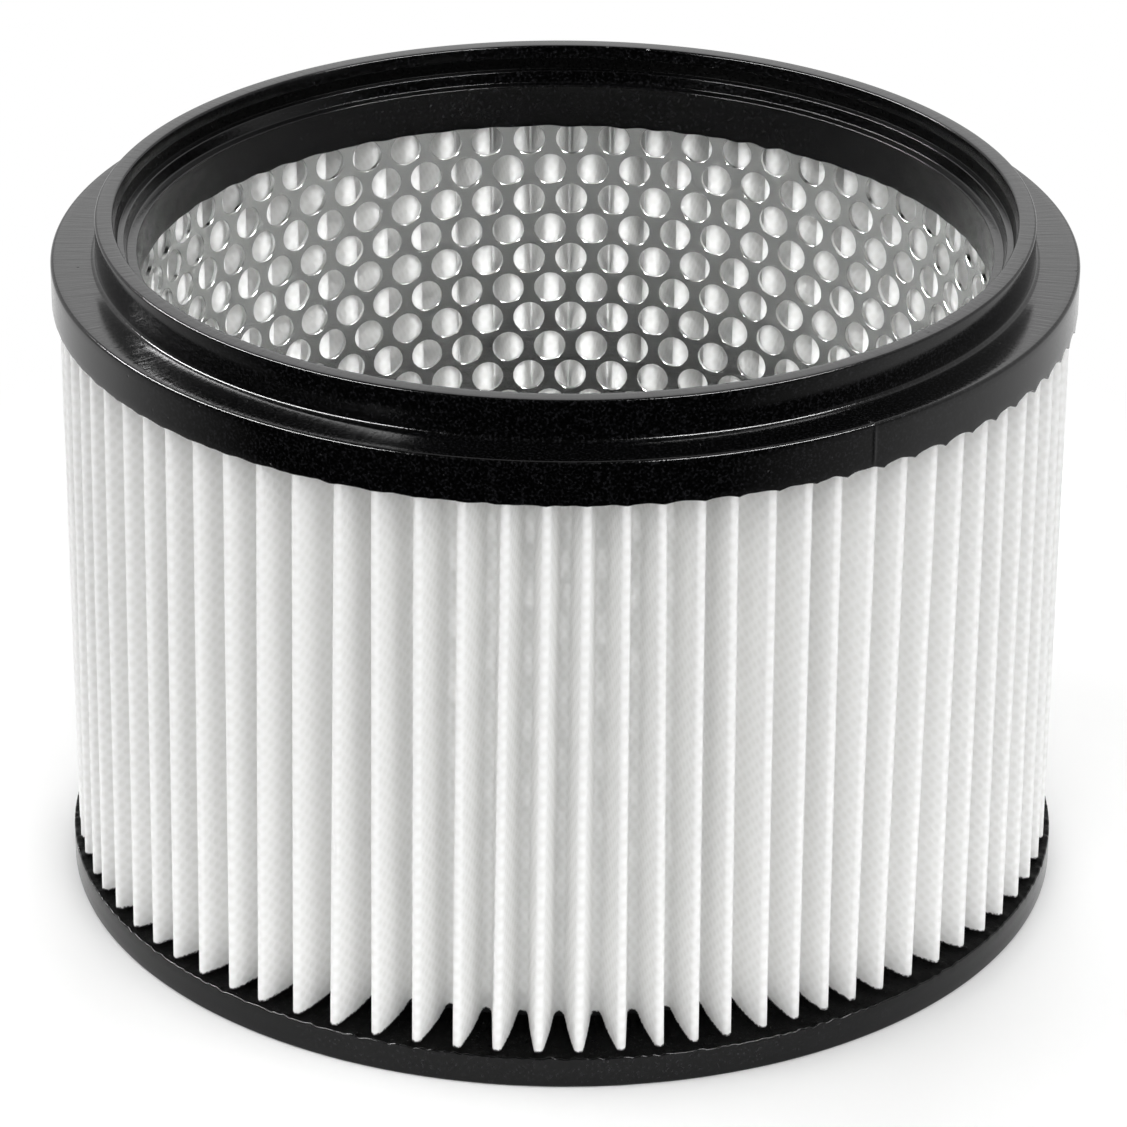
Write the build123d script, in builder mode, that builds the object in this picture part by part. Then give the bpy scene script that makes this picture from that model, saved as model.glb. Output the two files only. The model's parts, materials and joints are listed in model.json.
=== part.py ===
from build123d import *

import math
import os

# Cartridge filter for a wet and dry vacuum cleaner: a ring of pleated fleece stands between two cast polyurethane
# caps and round a perforated steel core. Millimetres. The axis is +Z and the base stands on Z = 0.

# Perforated core: a sheet rolled in narrow flats, with rows of holes set half a step from row to row
core_inner_diameter = 161.6
core_sheet = 0.8
core_potting_top = 4.0
core_potting_base = 3.0
potting_clearance = 0.05
hole_columns = 20
hole_rows = 6
hole_sides = 8
hole_web = 4.2

# Pleated media: one sheet of even thickness, its folds rounded outside and creased inside
media_height = 109.8
media_sheet = 0.6
core_clearance = 0.4
pleat_count = 80
pleat_depth = 11.55
fold_radius = 1.2
fold_facets = 3
crease_facets = 1

# Bottom cap
base_thickness = 6.0
base_margin = 0.9
base_recess = 2.0
base_lip = 3.0
base_edge = 0.5

# Top cap, from the neck outwards
neck_lip = 1.7
lower_ledge_width = 1.85
riser_height = 2.2
riser_draft = 0.5
upper_ledge_width = 1.3
mouth_depth = 4.6
mouth_draft = 0.7
rim_width = 3.3
collar_height = 7.7
flange_overhang = 1.2
flange_thickness = 8.2
flange_edge = 0.6

# Heights of the faces that the pieces share
media_top = base_thickness + media_height
core_bottom = base_thickness - core_potting_base
core_top = media_top + core_potting_top

# Radii that the core, the media and the caps share
core_flats = 2 * hole_columns
core_inner_radius = core_inner_diameter / 2
core_outer_radius = core_inner_radius + core_sheet
core_corner_radius = core_outer_radius / math.cos(math.pi / core_flats)
groove_inner_radius = core_inner_radius - potting_clearance
groove_outer_radius = core_corner_radius + potting_clearance
media_inner_radius = core_corner_radius + core_clearance
media_outer_radius = media_inner_radius + pleat_depth


def corner(section, radius, height):
    """The corner of a half section that lies nearest to a radius and a height."""
    return section.vertices().sort_by_distance((radius, height))[0]


with BuildPart() as bottom_end_cap:
    base_radius = media_outer_radius + base_margin
    recess_radius = groove_inner_radius - base_lip
    recess_floor = base_thickness - base_recess
    with BuildSketch(Plane.XZ) as base_section:
        with BuildLine():
            Polyline(
                (0, 0),
                (base_radius, 0),
                (base_radius, base_thickness),
                (groove_outer_radius, base_thickness),
                (groove_outer_radius, core_bottom),
                (groove_inner_radius, core_bottom),
                (groove_inner_radius, base_thickness),
                (recess_radius, base_thickness),
                (recess_radius, recess_floor),
                (0, recess_floor),
                close=True,
            )
        make_face()
        chamfer(corner(base_section, base_radius, 0), base_edge)
    revolve(axis=Axis.Z)
bottom_end_cap.part.label = "bottom_end_cap"


with BuildPart() as top_end_cap:
    flange_radius = media_outer_radius + flange_overhang
    flange_top = media_top + flange_thickness
    collar_top = flange_top + collar_height
    upper_ledge_height = collar_top - mouth_depth
    lower_ledge_height = upper_ledge_height - riser_height
    neck_radius = groove_inner_radius - neck_lip
    lower_ledge_radius = neck_radius + lower_ledge_width
    riser_radius = lower_ledge_radius + riser_draft
    upper_ledge_radius = riser_radius + upper_ledge_width
    rim_radius = upper_ledge_radius + mouth_draft
    collar_radius = rim_radius + rim_width
    with BuildSketch(Plane.XZ) as cap_section:
        with BuildLine():
            Polyline(
                (flange_radius, media_top),
                (flange_radius, flange_top),
                (collar_radius, flange_top),
                (collar_radius, collar_top),
                (rim_radius, collar_top),
                (upper_ledge_radius, upper_ledge_height),
                (riser_radius, upper_ledge_height),
                (lower_ledge_radius, lower_ledge_height),
                (neck_radius, lower_ledge_height),
                (neck_radius, media_top),
                (groove_inner_radius, media_top),
                (groove_inner_radius, core_top),
                (groove_outer_radius, core_top),
                (groove_outer_radius, media_top),
                close=True,
            )
        make_face()
        chamfer(corner(cap_section, flange_radius, flange_top), flange_edge)
    revolve(axis=Axis.Z)
top_end_cap.part.label = "top_end_cap"


def hole_planes(row_pitch):
    """Planes that face outwards just inside the core's wall, one at each hole, each on a corner of the flats."""
    planes = []
    for row in range(hole_rows):
        height = base_thickness + (row + 0.5) * row_pitch
        for column in range(hole_columns):
            outward = Vector(1, 0).rotate(Axis.Z, (2 * column + row % 2) * 360 / core_flats)
            origin = outward * (core_inner_radius - core_sheet) + Vector(0, 0, height)
            planes.append(Plane(origin, x_dir=(0, 0, 1), z_dir=outward))
    return planes


with BuildPart() as perforated_core:
    row_pitch = media_height / hole_rows
    half_column_pitch = math.pi * core_outer_radius / hole_columns
    hole_width = math.hypot(row_pitch, half_column_pitch) - hole_web
    with BuildSketch(Plane.XY.offset(core_bottom)):
        RegularPolygon(core_outer_radius, core_flats, major_radius=False)
        RegularPolygon(core_inner_radius, core_flats, major_radius=False, mode=Mode.SUBTRACT)
    extrude(amount=core_top - core_bottom)
    with BuildSketch(*hole_planes(row_pitch)):
        RegularPolygon(hole_width / 2, hole_sides)
    extrude(amount=4 * core_sheet, mode=Mode.SUBTRACT)
perforated_core.part.label = "perforated_core"


def fold(centre_radius, centre_angle, facing, half_span, radius):
    """Points of one fold: the chords of an arc about a centre that is given by its radius and angle."""
    facets = fold_facets if radius > fold_radius - media_sheet / 2 else crease_facets
    centre = Vector(centre_radius, 0).rotate(Axis.Z, centre_angle)
    turns = [half_span * (2 * step / facets - 1) for step in range(facets + 1)]
    return [centre + Vector(radius, 0).rotate(Axis.Z, facing + turn) for turn in turns]


def pleat_outline(side):
    """Closed outline of one face of the folded sheet, a given distance outside its middle line."""
    step = 360 / pleat_count
    middle_radius = fold_radius - media_sheet / 2
    tip_radius = media_outer_radius - fold_radius
    root_radius = media_inner_radius + fold_radius
    across = root_radius * math.sin(math.radians(step / 2))
    inward = tip_radius - root_radius * math.cos(math.radians(step / 2))
    lean = math.atan2(across, inward) - math.asin(2 * middle_radius / math.hypot(across, inward))
    tip_span = 90 - math.degrees(lean)
    root_span = tip_span - step / 2
    points = []
    for pleat in range(pleat_count):
        angle = pleat * step
        points += fold(tip_radius, angle, angle, tip_span, middle_radius + side)
        angle += step / 2
        points += reversed(fold(root_radius, angle, angle + 180, root_span, middle_radius - side))
    return points


with BuildPart() as pleated_media:
    with BuildSketch(Plane.XY.offset(base_thickness)):
        with BuildLine():
            Polyline(*pleat_outline(media_sheet / 2), close=True)
        make_face()
        with BuildLine():
            Polyline(*pleat_outline(-media_sheet / 2), close=True)
        make_face(mode=Mode.SUBTRACT)
    extrude(amount=media_height)
pleated_media.part.label = "pleated_media"


os.makedirs("parts", exist_ok=True)
for piece in (bottom_end_cap, top_end_cap, perforated_core, pleated_media):
    export_step(piece.part, f"parts/{piece.part.label}.step")
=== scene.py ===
"""Studio scene of a cartridge filter for a wet and dry vacuum cleaner.

A ring of pleated fleece stands between two caps of cast polyurethane, round a core of perforated steel
sheet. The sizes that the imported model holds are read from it, and the rest are real sizes in millimetres that
MM turns to metres. Angles run from the front (-Y) towards the right (+X).
"""

import json
import logging
import math
from collections.abc import Sequence
from dataclasses import dataclass, field
from enum import Enum
from typing import Any, ClassVar

import bmesh
import bpy
import numpy as np
from mathutils import Matrix, Vector

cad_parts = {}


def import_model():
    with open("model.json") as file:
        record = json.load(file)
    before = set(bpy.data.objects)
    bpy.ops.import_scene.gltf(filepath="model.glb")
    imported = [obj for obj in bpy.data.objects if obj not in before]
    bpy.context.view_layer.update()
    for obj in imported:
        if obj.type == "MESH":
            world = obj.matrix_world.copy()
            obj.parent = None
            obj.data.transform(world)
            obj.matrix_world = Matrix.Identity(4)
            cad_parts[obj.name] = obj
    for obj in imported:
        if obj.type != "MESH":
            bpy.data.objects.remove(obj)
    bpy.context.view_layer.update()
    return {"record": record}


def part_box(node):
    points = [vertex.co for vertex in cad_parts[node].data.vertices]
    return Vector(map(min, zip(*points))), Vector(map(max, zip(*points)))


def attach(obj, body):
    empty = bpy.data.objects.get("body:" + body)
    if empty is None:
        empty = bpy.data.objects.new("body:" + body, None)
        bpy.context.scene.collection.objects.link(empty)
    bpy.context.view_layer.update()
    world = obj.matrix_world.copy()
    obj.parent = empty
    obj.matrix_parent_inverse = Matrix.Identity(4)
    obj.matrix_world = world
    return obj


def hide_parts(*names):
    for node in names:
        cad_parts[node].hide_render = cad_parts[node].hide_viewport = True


MM = 0.001
# Points as near as this to a plane or a radius count as lying on it
TOUCH = 0.01 * MM
# Gap between the core and the roots of the pleats
CORE_CLEARANCE = 0.4 * MM
# A noise texture seldom leaves this band, so its ends stand for the least and the most
NOISE_LOW = 0.3
NOISE_HIGH = 0.7
LOG = logging.getLogger("cartridge_filter")


def linear_colour(hex_code: str) -> tuple[float, float, float, float]:
    """Turn an sRGB hex value into the linear colour that a socket takes.

    Args:
        hex_code: colour such as "#0d0d0e".

    Returns:
        Linear red, green and blue, and an alpha of 1.
    """
    shares = [int(hex_code[place : place + 2], 16) / 255 for place in (1, 3, 5)]
    red, green, blue = (s / 12.92 if s <= 0.04045 else ((s + 0.055) / 1.055) ** 2.4 for s in shares)
    return red, green, blue, 1.0


def add_node(
    tree: bpy.types.NodeTree, kind: str, inputs: dict[Any, Any] | None = None, **settings: Any
) -> Any:
    """Add one node to a tree, with its settings and links.

    Args:
        tree: tree that takes the node.
        kind: Blender's name of the node's type.
        inputs: what goes into each socket, by name or number: a constant, or an output to link.
        settings: the node's own properties.

    Returns:
        The new node.
    """
    node = tree.nodes.new(kind)
    for name, value in settings.items():
        setattr(node, name, value)
    for socket, value in (inputs or {}).items():
        if isinstance(value, bpy.types.NodeSocket):
            tree.links.new(value, node.inputs[socket])
        else:
            node.inputs[socket].default_value = value
    return node


def new_material(name: str) -> tuple[bpy.types.Material, bpy.types.NodeTree, Any]:
    """Start a material.

    Args:
        name: what the finish is called.

    Returns:
        The material, its node tree and its Principled shader.
    """
    material = bpy.data.materials.new(name)
    material.use_nodes = True
    return material, material.node_tree, material.node_tree.nodes["Principled BSDF"]


def ramp(value: np.ndarray, start: float, end: float) -> np.ndarray:
    """Smooth step.

    Args:
        value: where to read the step.
        start: value that gives 0.
        end: value that gives 1, above or below start.

    Returns:
        Shares from 0 to 1.
    """
    share = np.clip((value - start) / (end - start), 0, 1)
    return share * share * (3 - 2 * share)


def grid_quads(rows: int, columns: int, wrap_rows: bool) -> np.ndarray:
    """Quads of a grid that closes on itself along its columns.

    Args:
        rows: how many rows of vertices there are, numbered one after the other.
        columns: how many vertices a row has.
        wrap_rows: whether the last row joins the first.

    Returns:
        Vertex numbers, four to a quad.
    """
    row, column = np.meshgrid(np.arange(rows if wrap_rows else rows - 1), np.arange(columns), indexing="ij")
    next_row, next_column = (row + 1) % rows, (column + 1) % columns
    corners = [(row, column), (row, next_column), (next_row, next_column), (next_row, column)]
    return np.stack([r * columns + c for r, c in corners], axis=-1).reshape(-1, 4)


def ring_points(radius: np.ndarray, angle: np.ndarray, height: np.ndarray) -> np.ndarray:
    """Points round the axis, from radii, angles and heights of shapes that fit each other."""
    return np.stack(np.broadcast_arrays(radius * np.sin(angle), -radius * np.cos(angle), height), axis=-1)


def add_piece(
    name: str, points: np.ndarray, faces: list[list[int]], crease: float = 40.0, weld: float = 0.0
) -> bpy.types.Object:
    """Make a closed mesh object, smooth apart from its creases.

    Args:
        name: the piece's name.
        points: vertices, in metres.
        faces: vertex numbers of each face.
        crease: angle in degrees from which an edge stays sharp.
        weld: distance within which vertices are joined, or 0 to join none.

    Returns:
        The object, linked to the scene.
    """
    mesh = bpy.data.meshes.new(name)
    mesh.from_pydata(points.reshape(-1, 3).tolist(), [], faces)
    shell = bmesh.new()
    shell.from_mesh(mesh)
    if weld:
        bmesh.ops.remove_doubles(shell, verts=shell.verts, dist=weld)
    bmesh.ops.recalc_face_normals(shell, faces=shell.faces)
    shell.to_mesh(mesh)
    shell.free()
    mesh.shade_smooth()
    mesh.set_sharp_from_angle(angle=math.radians(crease))
    piece = bpy.data.objects.new(name, mesh)
    bpy.context.scene.collection.objects.link(piece)
    return piece


def store_numbers(piece: bpy.types.Object, name: str, numbers: np.ndarray) -> None:
    """Store a number or a place for every point of a piece, for its finish to read.

    Args:
        piece: the mesh object.
        name: name that the finish asks for.
        numbers: one number for each point, or three along the last axis.
    """
    triples = numbers.size == 3 * len(piece.data.vertices)
    kind, socket = ("FLOAT_VECTOR", "vector") if triples else ("FLOAT", "value")
    stored = piece.data.attributes.new(name, kind, "POINT")
    stored.data.foreach_set(socket, np.ascontiguousarray(numbers, dtype=np.float32).ravel())


def use_second_finish(piece: bpy.types.Object, marked: np.ndarray) -> None:
    """Give the second finish of a piece to some of its faces.

    Args:
        piece: the mesh object.
        marked: one truth value for each point; a face is chosen when all its points are marked.
    """
    chosen = [int(all(marked[corner] for corner in face.vertices)) for face in piece.data.polygons]
    piece.data.polygons.foreach_set("material_index", chosen)


@dataclass(frozen=True)
class Ripple:
    """Smooth random waviness round the axis, the same on every run and without a seam."""

    seed: int
    slowest: int
    fastest: int
    size: float

    def at(self, angle: np.ndarray) -> np.ndarray:
        """Waviness at given angles.

        Args:
            angle: angles in radians.

        Returns:
            Offsets whose root mean square is the ripple's size.
        """
        cycles = np.arange(self.slowest, self.fastest + 1)
        phases = np.random.default_rng(self.seed).uniform(0, math.tau, cycles.size)
        waves = np.cos(np.multiply.outer(angle, cycles) + phases)
        return self.size * math.sqrt(2 / cycles.size) * waves.sum(axis=-1)


@dataclass(frozen=True)
class CartridgeSizes:
    """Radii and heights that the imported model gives."""

    base_radius: float
    base_top: float
    media_radius: float
    media_top: float
    core_radius: float
    collar_radius: float
    flange_radius: float
    flange_top: float
    collar_top: float

    @classmethod
    def from_frame(cls, record: dict[str, Any]) -> "CartridgeSizes":
        """Read the sizes from the nodes' boxes and the record's mounts.

        Args:
            record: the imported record.

        Returns:
            The sizes, in metres.
        """
        base, media, core, cap = (
            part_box(node) for node in ("bottom_end_cap", "pleated_media", "perforated_core", "top_end_cap")
        )
        mounts = {mount["name"]: mount for mount in record["mounts"]}
        return cls(
            base_radius=base[1].x,
            base_top=media[0].z,
            media_radius=media[1].x,
            media_top=media[1].z,
            core_radius=core[1].x,
            collar_radius=mounts["collar_spigot"]["dims"]["r_mm"] * MM,
            flange_radius=cap[1].x,
            flange_top=mounts["flange_seat"]["pos_m"][2],
            collar_top=cap[1].z,
        )


@dataclass(frozen=True)
class Bunching:
    """Slow unevenness of the pleats' spacing.

    It comes in a number of waves to a turn, which shift a tip by so much at most, with a crest at an angle.
    """

    waves: int
    shift: float
    crest: float


@dataclass(frozen=True)
class PleatLayout:
    """Where the folds of the media stand round the axis at one end, shared with the cap that pots them."""

    outer_radius: float
    inner_radius: float
    first_tip: float
    bunchings: tuple[Bunching, ...]
    jitter: float
    seed: int
    count: int = 80
    dent: float = 2.1 * MM
    dent_angle: float = math.radians(33.0)
    dent_width: float = math.radians(25.0)

    @classmethod
    def at_base(cls, outer_radius: float, inner_radius: float) -> "PleatLayout":
        """Layout in the lower cap.

        Args:
            outer_radius: radius of the tips.
            inner_radius: radius of the roots.

        Returns:
            The layout.
        """
        bunchings = (
            Bunching(waves=3, shift=math.radians(1.15), crest=math.radians(-5.7)),
            Bunching(waves=5, shift=math.radians(0.33), crest=math.radians(4.3)),
        )
        return cls(
            outer_radius,
            inner_radius,
            first_tip=math.radians(0.73),
            bunchings=bunchings,
            jitter=math.radians(0.31),
            seed=11523,
        )

    @classmethod
    def at_top(cls, outer_radius: float, inner_radius: float) -> "PleatLayout":
        """Layout in the upper cap, into which the folds lean from where they stand in the lower one.

        Args:
            outer_radius: radius of the tips.
            inner_radius: radius of the roots.

        Returns:
            The layout.
        """
        bunchings = (
            Bunching(waves=1, shift=math.radians(2.14), crest=math.radians(-81.7)),
            Bunching(waves=3, shift=math.radians(0.81), crest=math.radians(4.6)),
            Bunching(waves=5, shift=math.radians(0.59), crest=math.radians(-11.8)),
        )
        return cls(
            outer_radius,
            inner_radius,
            first_tip=math.radians(0.89),
            bunchings=bunchings,
            jitter=math.radians(0.29),
            seed=958,
        )

    def tips(self) -> np.ndarray:
        """Places of the tips round the axis.

        Returns:
            Angles, rising from that of the tip nearest to the back.
        """
        even = (np.arange(self.count) - self.count // 2) * math.tau / self.count
        chance = np.random.default_rng(self.seed).uniform(-1, 1, self.count)
        tips = even + self.first_tip + self.jitter * chance
        for bunching in self.bunchings:
            tips += bunching.shift * np.cos(bunching.waves * (even - bunching.crest))
        return tips

    def _turns(self) -> np.ndarray:
        """Angles of the tips with one more turn's first tip at each end."""
        tips = self.tips()
        return np.concatenate([tips[-1:] - math.tau, tips, tips[:1] + math.tau])

    def phase(self, angle: np.ndarray) -> np.ndarray:
        """Place between two tips.

        Args:
            angle: angles in radians.

        Returns:
            0 at a tip, rising to half at the root after it and from minus half at the root before it.
        """
        turns = self._turns()
        count = np.interp(angle, turns, np.arange(turns.size))
        return count - np.round(count)

    def spacing(self, angle: np.ndarray) -> np.ndarray:
        """Angle from one tip to the next, at given angles."""
        turns = self._turns()
        return np.interp(angle, (turns[1:] + turns[:-1]) / 2, np.diff(turns))

    def columns(self, per_pleat: int) -> np.ndarray:
        """Angles that divide every pleat evenly, with one on each tip.

        Args:
            per_pleat: parts from one tip to the next.

        Returns:
            Rising angles, once round.
        """
        turns = self._turns()[1:]
        places = np.arange(self.count * per_pleat) / per_pleat
        return np.interp(places, np.arange(turns.size), turns)

    def tip_radius(self, angle: np.ndarray) -> np.ndarray:
        """Radius that the tips reach, less on the side where the pack stands pushed in."""
        return self.outer_radius - self.dent * np.exp(-(((angle - self.dent_angle) / self.dent_width) ** 2))


@dataclass(frozen=True)
class PottingBed:
    """How far the poured resin climbs from the level of a cap where it wets the folds."""

    layout: PleatLayout
    tip_half_width: float = 1.0 * MM
    root_half_width: float = 0.6 * MM
    wet_height: float = 0.15 * MM
    wet_reach: float = 0.7 * MM
    root_height: float = 2.9 * MM
    root_reach: float = 3.3 * MM
    valley_share: float = 0.8
    valley_falloff: float = 1.5
    bead_height: float = 0.3 * MM
    bead_width: float = 0.5 * MM
    bead_offset: float = 0.7 * MM

    def at_sheet(self, radius: np.ndarray) -> np.ndarray:
        """Rise where the resin meets the sheet itself, by radius."""
        climb = np.exp((self.layout.inner_radius - radius) / self.root_reach)
        return self.wet_height + self.root_height * climb

    def rise(self, radius: np.ndarray, angle: np.ndarray) -> np.ndarray:
        """Rise of the resin's surface.

        Args:
            radius: radii of the points.
            angle: their angles, of a shape that fits the radii.

        Returns:
            Heights above the level of the cap.
        """
        layout = self.layout
        tip_radius = layout.tip_radius(angle)
        pitch = layout.spacing(angle) * radius
        along = np.abs(layout.phase(angle)) * pitch
        depth = np.clip((tip_radius - radius) / (tip_radius - layout.inner_radius), 0, 1)
        half_width = self.tip_half_width + depth * (pitch / 2 - self.root_half_width - self.tip_half_width)
        gap = np.hypot(np.maximum(along - half_width, 0), np.maximum(radius - tip_radius, 0))
        wet = self.at_sheet(radius) * np.exp(-gap / self.wet_reach)
        inward = (layout.inner_radius - radius) / self.root_reach
        valley = self.valley_share * self.root_height * np.exp(self.valley_falloff * inward)
        from_bead = np.hypot(along, radius - tip_radius - self.bead_offset) / self.bead_width
        return np.maximum(wet, valley) + self.bead_height * np.exp(-(from_bead**2))


@dataclass(frozen=True)
class Corner:
    """One corner of a half section: its place, its rounding, and the parts of the run that follows it."""

    radius: float
    height: float
    rounding: float = 0.0
    parts: int = 1


def rounded_section(corners: Sequence[Corner], closed: bool, arc_steps: int = 5) -> np.ndarray:
    """Half section with its corners rounded off by arcs.

    Args:
        corners: the corners in order.
        closed: whether the last corner joins the first.
        arc_steps: chords of each arc.

    Returns:
        Radii and heights of the section's points.
    """
    spots = np.array([(corner.radius, corner.height) for corner in corners])
    arcs = []
    for index, corner in enumerate(corners):
        spot = spots[index]
        if not corner.rounding:
            arcs.append(spot[None])
            continue
        back = spots[index - 1] - spot
        on = spots[(index + 1) % len(spots)] - spot
        back, on = back / np.linalg.norm(back), on / np.linalg.norm(on)
        half = math.acos(float(np.clip(back @ on, -1, 1))) / 2
        middle = (back + on) / np.linalg.norm(back + on)
        centre = spot + middle * corner.rounding / math.sin(half)
        first, last = (spot + side * corner.rounding / math.tan(half) - centre for side in (back, on))
        start = math.atan2(first[1], first[0])
        turn = (math.atan2(last[1], last[0]) - start + math.pi) % math.tau - math.pi
        steps = start + turn * np.linspace(0, 1, arc_steps + 1)
        arcs.append(centre + corner.rounding * np.stack([np.cos(steps), np.sin(steps)], axis=-1))
    points = []
    for index, corner in enumerate(corners):
        points.append(arcs[index])
        if closed or index + 1 < len(corners):
            shares = np.arange(1, corner.parts)[:, None] / corner.parts
            ahead = arcs[(index + 1) % len(corners)][0]
            points.append(arcs[index][-1] + shares * (ahead - arcs[index][-1]))
    return np.concatenate(points)


@dataclass(frozen=True)
class CastPolyurethane:
    """Black polyurethane elastomer, poured into an open mould and left as cast.

    To the eye it is a deep black with a satin skin that is finely specked. The mould leaves a grain that runs
    outwards from the axis and roughens the rounded edges, so that light on them breaks into beads, and
    trapped air leaves a few small pits.
    """

    # How far a face is from both level and upright: 0 on either of them and 0.25 at a slope of 45 degrees.
    # A face of this value or more counts as an edge
    EDGE_SLOPE: ClassVar[float] = 0.2
    # Levels of the skin's noise at which a speck starts to show and shows in full
    SPECK_START: ClassVar[float] = 0.5
    SPECK_FULL: ClassVar[float] = 0.75

    name: str = "cast_polyurethane_black"
    colour: str = "#020202"
    speck_colour: str = "#18181a"
    ior: float = 1.45
    reflectance: float = 0.3
    polished: float = 0.1
    matt: float = 0.2
    ring_radius: float = 90.0 * MM
    grain_spacing: float = 0.9 * MM
    grain_depth: float = 0.045 * MM
    grain_drift: float = 0.12
    skin_spacing: float = 0.5 * MM
    skin_depth: float = 0.03 * MM
    flat_share: float = 0.08
    edge_share: float = 0.6
    pit_spacing: float = 5.0 * MM
    pit_radius: float = 0.3 * MM
    pit_depth: float = 0.12 * MM

    def material(self) -> bpy.types.Material:
        """Build the shader.

        Returns:
            The material.
        """
        material, tree, shader = new_material(self.name)
        surface = add_node(tree, "ShaderNodeNewGeometry").outputs
        place = surface["Position"]
        level = add_node(tree, "ShaderNodeVectorMath", {0: place, 1: (1, 1, 0)}, operation="MULTIPLY")
        outward = add_node(tree, "ShaderNodeVectorMath", {0: level.outputs[0]}, operation="NORMALIZE")
        drift = self.grain_drift / self.grain_spacing
        drifted = add_node(tree, "ShaderNodeVectorMath", {0: place, "Scale": drift}, operation="SCALE")
        turns = [self.ring_radius / self.grain_spacing] * 3
        grain_place = add_node(
            tree,
            "ShaderNodeVectorMath",
            {0: outward.outputs[0], 1: turns, 2: drifted.outputs[0]},
            operation="MULTIPLY_ADD",
        )
        grain = add_node(
            tree, "ShaderNodeTexNoise", {"Vector": grain_place.outputs[0], "Scale": 1.0, "Detail": 2.0}
        ).outputs[0]
        skin = add_node(
            tree, "ShaderNodeTexNoise", {"Vector": place, "Scale": 1 / self.skin_spacing, "Detail": 1.0}
        ).outputs[0]
        cells = add_node(tree, "ShaderNodeTexVoronoi", {"Vector": place, "Scale": 1 / self.pit_spacing})
        pits = add_node(
            tree,
            "ShaderNodeMapRange",
            {0: cells.outputs["Distance"], 2: self.pit_radius / self.pit_spacing},
            interpolation_type="SMOOTHSTEP",
        ).outputs[0]
        facing = add_node(
            tree, "ShaderNodeVectorMath", {0: surface["Normal"], 1: (0, 0, 1)}, operation="DOT_PRODUCT"
        ).outputs["Value"]
        lying = add_node(tree, "ShaderNodeMath", {0: facing, 1: facing}, operation="MULTIPLY").outputs[0]
        steep = add_node(tree, "ShaderNodeMath", {0: 1.0, 1: lying}, operation="SUBTRACT").outputs[0]
        on_edge = add_node(tree, "ShaderNodeMath", {0: lying, 1: steep}, operation="MULTIPLY").outputs[0]
        beads = add_node(
            tree,
            "ShaderNodeMapRange",
            {0: on_edge, 1: 0.0, 2: self.EDGE_SLOPE, 3: self.flat_share, 4: self.edge_share},
        ).outputs[0]
        grain_bump = add_node(
            tree, "ShaderNodeBump", {"Strength": lying, "Height": grain, "Distance": self.grain_depth}
        )
        skin_bump = add_node(
            tree,
            "ShaderNodeBump",
            {"Strength": beads, "Height": skin, "Distance": self.skin_depth, "Normal": grain_bump.outputs[0]},
        )
        pit_bump = add_node(
            tree,
            "ShaderNodeBump",
            {"Height": pits, "Distance": self.pit_depth, "Normal": skin_bump.outputs[0]},
        )
        gloss = add_node(
            tree,
            "ShaderNodeMapRange",
            {0: skin, 1: NOISE_LOW, 2: NOISE_HIGH, 3: self.polished, 4: self.matt},
        )
        specks = add_node(tree, "ShaderNodeMapRange", {0: skin, 1: self.SPECK_START, 2: self.SPECK_FULL})
        tint = add_node(
            tree,
            "ShaderNodeMix",
            {0: specks.outputs[0], 6: linear_colour(self.colour), 7: linear_colour(self.speck_colour)},
            data_type="RGBA",
        )
        tree.links.new(tint.outputs[2], shader.inputs["Base Color"])
        tree.links.new(gloss.outputs[0], shader.inputs["Roughness"])
        tree.links.new(pit_bump.outputs[0], shader.inputs["Normal"])
        shader.inputs["IOR"].default_value = self.ior
        shader.inputs["Specular IOR Level"].default_value = self.reflectance
        return material

    @classmethod
    def dull_painted_shade(cls) -> "CastPolyurethane":
        """Duller and blacker copy of the finish for the beds and the inner wall of the mouth. The open-poured
        beds are really duller; the dimmer specks and weak reflection are painted shade in these recesses.
        """
        return cls(
            name="cast_polyurethane_dull_painted_shade",
            # Dimmer specks and weaker reflection than the first finish: painted shade
            speck_colour="#060606",
            reflectance=0.05,
            polished=0.25,
            matt=0.4,
            flat_share=0.5,
        )


@dataclass(frozen=True)
class RolledSteel:
    """Thin sheet steel, cold rolled, coated with bright zinc, punched and rolled into a tube.

    To the eye it is a light grey metal with a soft shine, and rolling leaves faint streaks along the sheet.
    """

    colour: str = "#e3e4e3"
    dull_colour: str = "#d8d9d8"
    shiny: float = 0.2
    dull: float = 0.27
    # Real streaks are too fine to show, so they are drawn coarser
    streak_spacing: float = 0.7 * MM
    streak_length: float = 6.0 * MM

    def material(self) -> bpy.types.Material:
        """Build the shader.

        Returns:
            The material.
        """
        material, tree, shader = new_material("rolled_sheet_steel")
        place = add_node(tree, "ShaderNodeNewGeometry").outputs["Position"]
        scale = (1 / self.streak_length, 1 / self.streak_length, 1 / self.streak_spacing)
        streak_place = add_node(tree, "ShaderNodeVectorMath", {0: place, 1: scale}, operation="MULTIPLY")
        streaks = add_node(
            tree, "ShaderNodeTexNoise", {"Vector": streak_place.outputs[0], "Scale": 1.0, "Detail": 3.0}
        ).outputs[0]
        tint = add_node(
            tree,
            "ShaderNodeMix",
            {0: streaks, 6: linear_colour(self.colour), 7: linear_colour(self.dull_colour)},
            data_type="RGBA",
        )
        gloss = add_node(
            tree,
            "ShaderNodeMapRange",
            {0: streaks, 1: NOISE_LOW, 2: NOISE_HIGH, 3: self.shiny, 4: self.dull},
        )
        tree.links.new(tint.outputs[2], shader.inputs["Base Color"])
        tree.links.new(gloss.outputs[0], shader.inputs["Roughness"])
        shader.inputs["Metallic"].default_value = 1.0
        return material


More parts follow.
